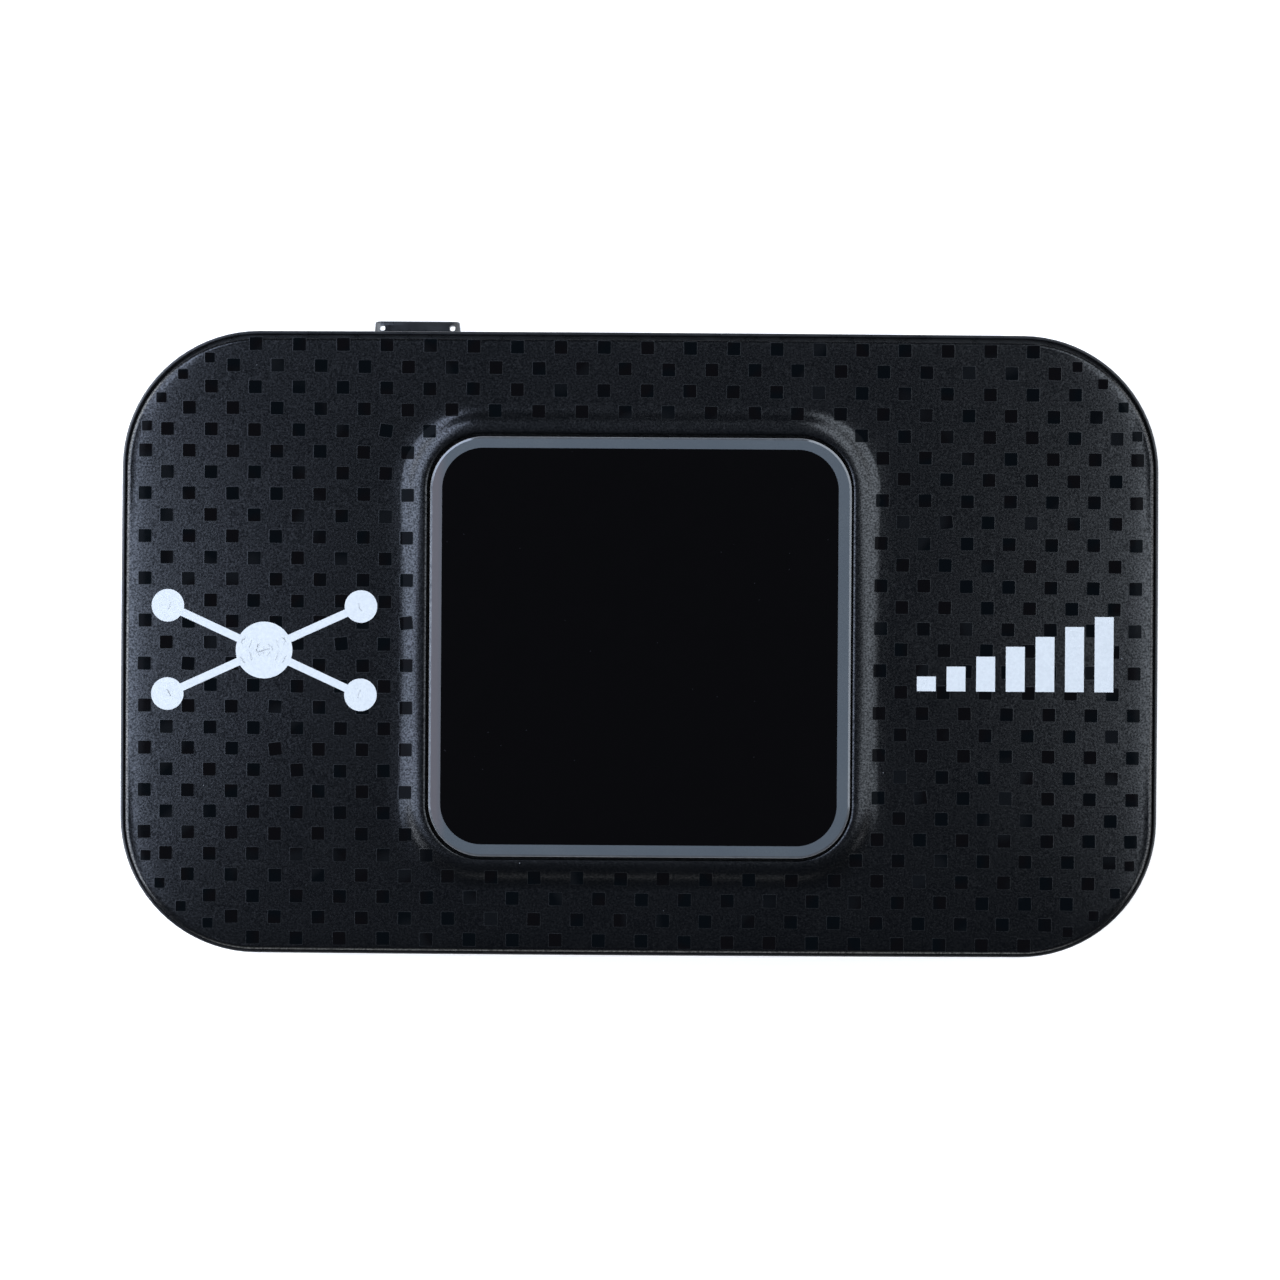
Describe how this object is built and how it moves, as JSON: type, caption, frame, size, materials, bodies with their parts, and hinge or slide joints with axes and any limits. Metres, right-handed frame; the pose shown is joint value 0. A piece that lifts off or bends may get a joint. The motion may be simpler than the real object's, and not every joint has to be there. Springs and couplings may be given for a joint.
{
  "type": "mobile hotspot",
  "caption": "Pocket cellular router: flat rounded-rectangle black plastic body with a square screen window, patterned front cover, edge power button and removable back cover over the battery.",
  "frame": {"origin": "centre of the flat rear face", "axes": "+X along the body's length, +Y towards the edge with the power button, +Z out of the screen"},
  "size_m": [0.099, 0.0606, 0.0146],
  "materials": {
    "satin_black": "fine spark texture with small glossy squares",
    "frame_black": "semi-gloss moulding",
    "rear_black": "fine spark texture",
    "window_glass": "hard-coated clear window with a dark back print and a grey border",
    "display": "switched-off panel",
    "display_frame": "pressed frame",
    "foam": "black foam tape",
    "polyimide": "amber film",
    "board_green": "solder mask",
    "tin_can": "tinned sheet",
    "chip_black": "moulded resin",
    "socket_steel": "folded sheet",
    "ivory_plastic": "moulded",
    "gold_contact": "gold-plated strip",
    "battery_wrap": "printed wrap without lettering",
    "card_white": "blank card",
    "screw_steel": "blackened"
  },
  "bodies": {
    "back_cover": {"back_cover": "rear_black"},
    "housing": {"antenna_clip_diversity": "gold_contact", "antenna_clip_main": "gold_contact", "antenna_diversity_carrier": "chip_black", "antenna_diversity_foil": "gold_contact", "antenna_main_carrier": "chip_black", "antenna_main_foil": "gold_contact", "antenna_wifi": "gold_contact", "battery_connector": "chip_black", "battery_spring_1": "gold_contact", "battery_spring_2": "gold_contact", "battery_spring_3": "gold_contact", "battery_spring_4": "gold_contact", "chip_amplifier": "chip_black", "chip_baseband": "chip_black", "chip_memory": "chip_black", "chip_power": "chip_black", "chip_transceiver": "chip_black", "chip_wifi": "chip_black", "display_backlight": "display_frame", "display_connector": "ivory_plastic", "display_flex": "polyimide", "display_gasket": "foam", "display_panel": "display", "front_cover": "satin_black", "lens_adhesive": "foam", "main_board": "board_green", "mid_housing": "frame_black", "power_switch_body": "socket_steel", "reset_switch_body": "socket_steel", "screen_lens": "window_glass", "screw_1": "screw_steel", "screw_2": "screw_steel", "screw_3": "screw_steel", "screw_4": "screw_steel", "screw_5": "screw_steel", "screw_6": "screw_steel", "shield_baseband": "tin_can", "shield_radio": "tin_can", "sim_holder": "socket_steel", "usb_shell": "socket_steel", "usb_tongue": "chip_black"},
    "battery": {"battery": "battery_wrap"},
    "power_button": {"power_button": "frame_black"},
    "switch_plunger": {"power_switch_plunger": "ivory_plastic"},
    "reset_plunger": {"reset_switch_plunger": "ivory_plastic"},
    "sim": {"sim_card": "card_white"}
  },
  "joints": [
    {"name": "housing_lift", "type": "slide", "parent": "back_cover", "child": "housing", "axis": [0, 0, 1], "range_m": [0, 0.024]},
    {"name": "battery_lift", "type": "slide", "parent": "back_cover", "child": "battery", "axis": [0, 0, 1], "range_m": [0, 0.012]},
    {"name": "power_button_press", "type": "slide", "parent": "housing", "child": "power_button", "axis": [0, -1, 0], "range_m": [0, 0.0003]},
    {"name": "power_switch_press", "type": "slide", "parent": "housing", "child": "switch_plunger", "axis": [0, -1, 0], "range_m": [0, 0.0003]},
    {"name": "reset_press", "type": "slide", "parent": "housing", "child": "reset_plunger", "axis": [0, 0, 1], "range_m": [0, 0.00025]},
    {"name": "sim_slide", "type": "slide", "parent": "housing", "child": "sim", "axis": [-1, 0, 0], "range_m": [0, 0.008]}
  ],
  "couplings": [
    {"joint": "battery_lift", "follows": "housing_lift", "ratio": 0.5},
    {"joint": "power_switch_press", "follows": "power_button_press", "ratio": 1}
  ]
}
